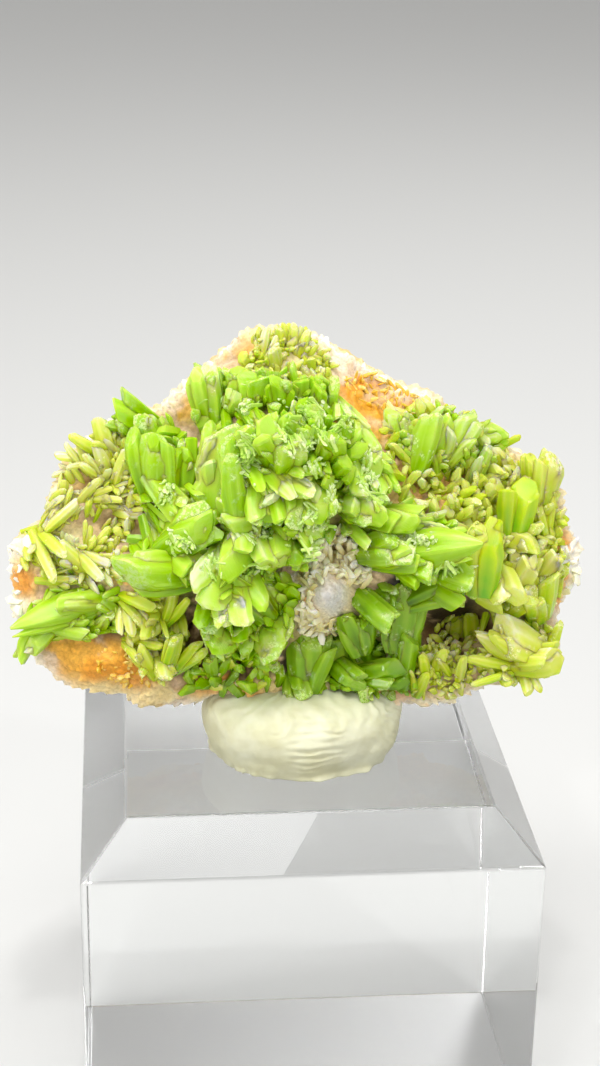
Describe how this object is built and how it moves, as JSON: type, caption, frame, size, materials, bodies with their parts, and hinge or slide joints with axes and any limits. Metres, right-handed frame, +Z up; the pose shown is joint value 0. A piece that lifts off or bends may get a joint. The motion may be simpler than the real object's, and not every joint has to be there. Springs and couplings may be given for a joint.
{
  "type": "pyromorphite on matrix",
  "caption": "Lime-green pyromorphite crystals over a tan sugary matrix, held by mineral tack on a clear bevelled display block.",
  "frame": {"origin": "middle of the block's underside, on the surface it stands on", "axes": "+Z up, -Y the crystal-covered front, +X to the right as the front is seen"},
  "size_m": [0.0391, 0.03, 0.0541],
  "materials": {
    "clear_acrylic": "clear polished acrylic, small chips along the bevel",
    "white_tack": "soft ivory putty, pressed and wrinkled by fingers",
    "matrix_rock": "sugary tan to orange rock with pale grains",
    "lime_crystal": "resinous translucent lime green",
    "pale_crystal": "translucent pale yellow green",
    "deep_crystal": "translucent dark green"
  },
  "bodies": {
    "root": {"acrylic_block": "clear_acrylic", "mineral_tack": "white_tack", "matrix": "matrix_rock", "dome_crystals": "lime_crystal", "shoulder_crystals": "lime_crystal", "skirt_crystals": "lime_crystal", "cheek_crystals": "lime_crystal", "left_spear_crystals": "lime_crystal", "left_foot_crystals": "pale_crystal", "left_wing_crystals": "pale_crystal", "right_wing_crystals": "lime_crystal", "right_edge_crystals": "pale_crystal", "right_foot_crystals": "pale_crystal", "cavity_crystals": "deep_crystal", "cave_crystals": "pale_crystal", "apex_crystals": "pale_crystal"}
  },
  "joints": []
}
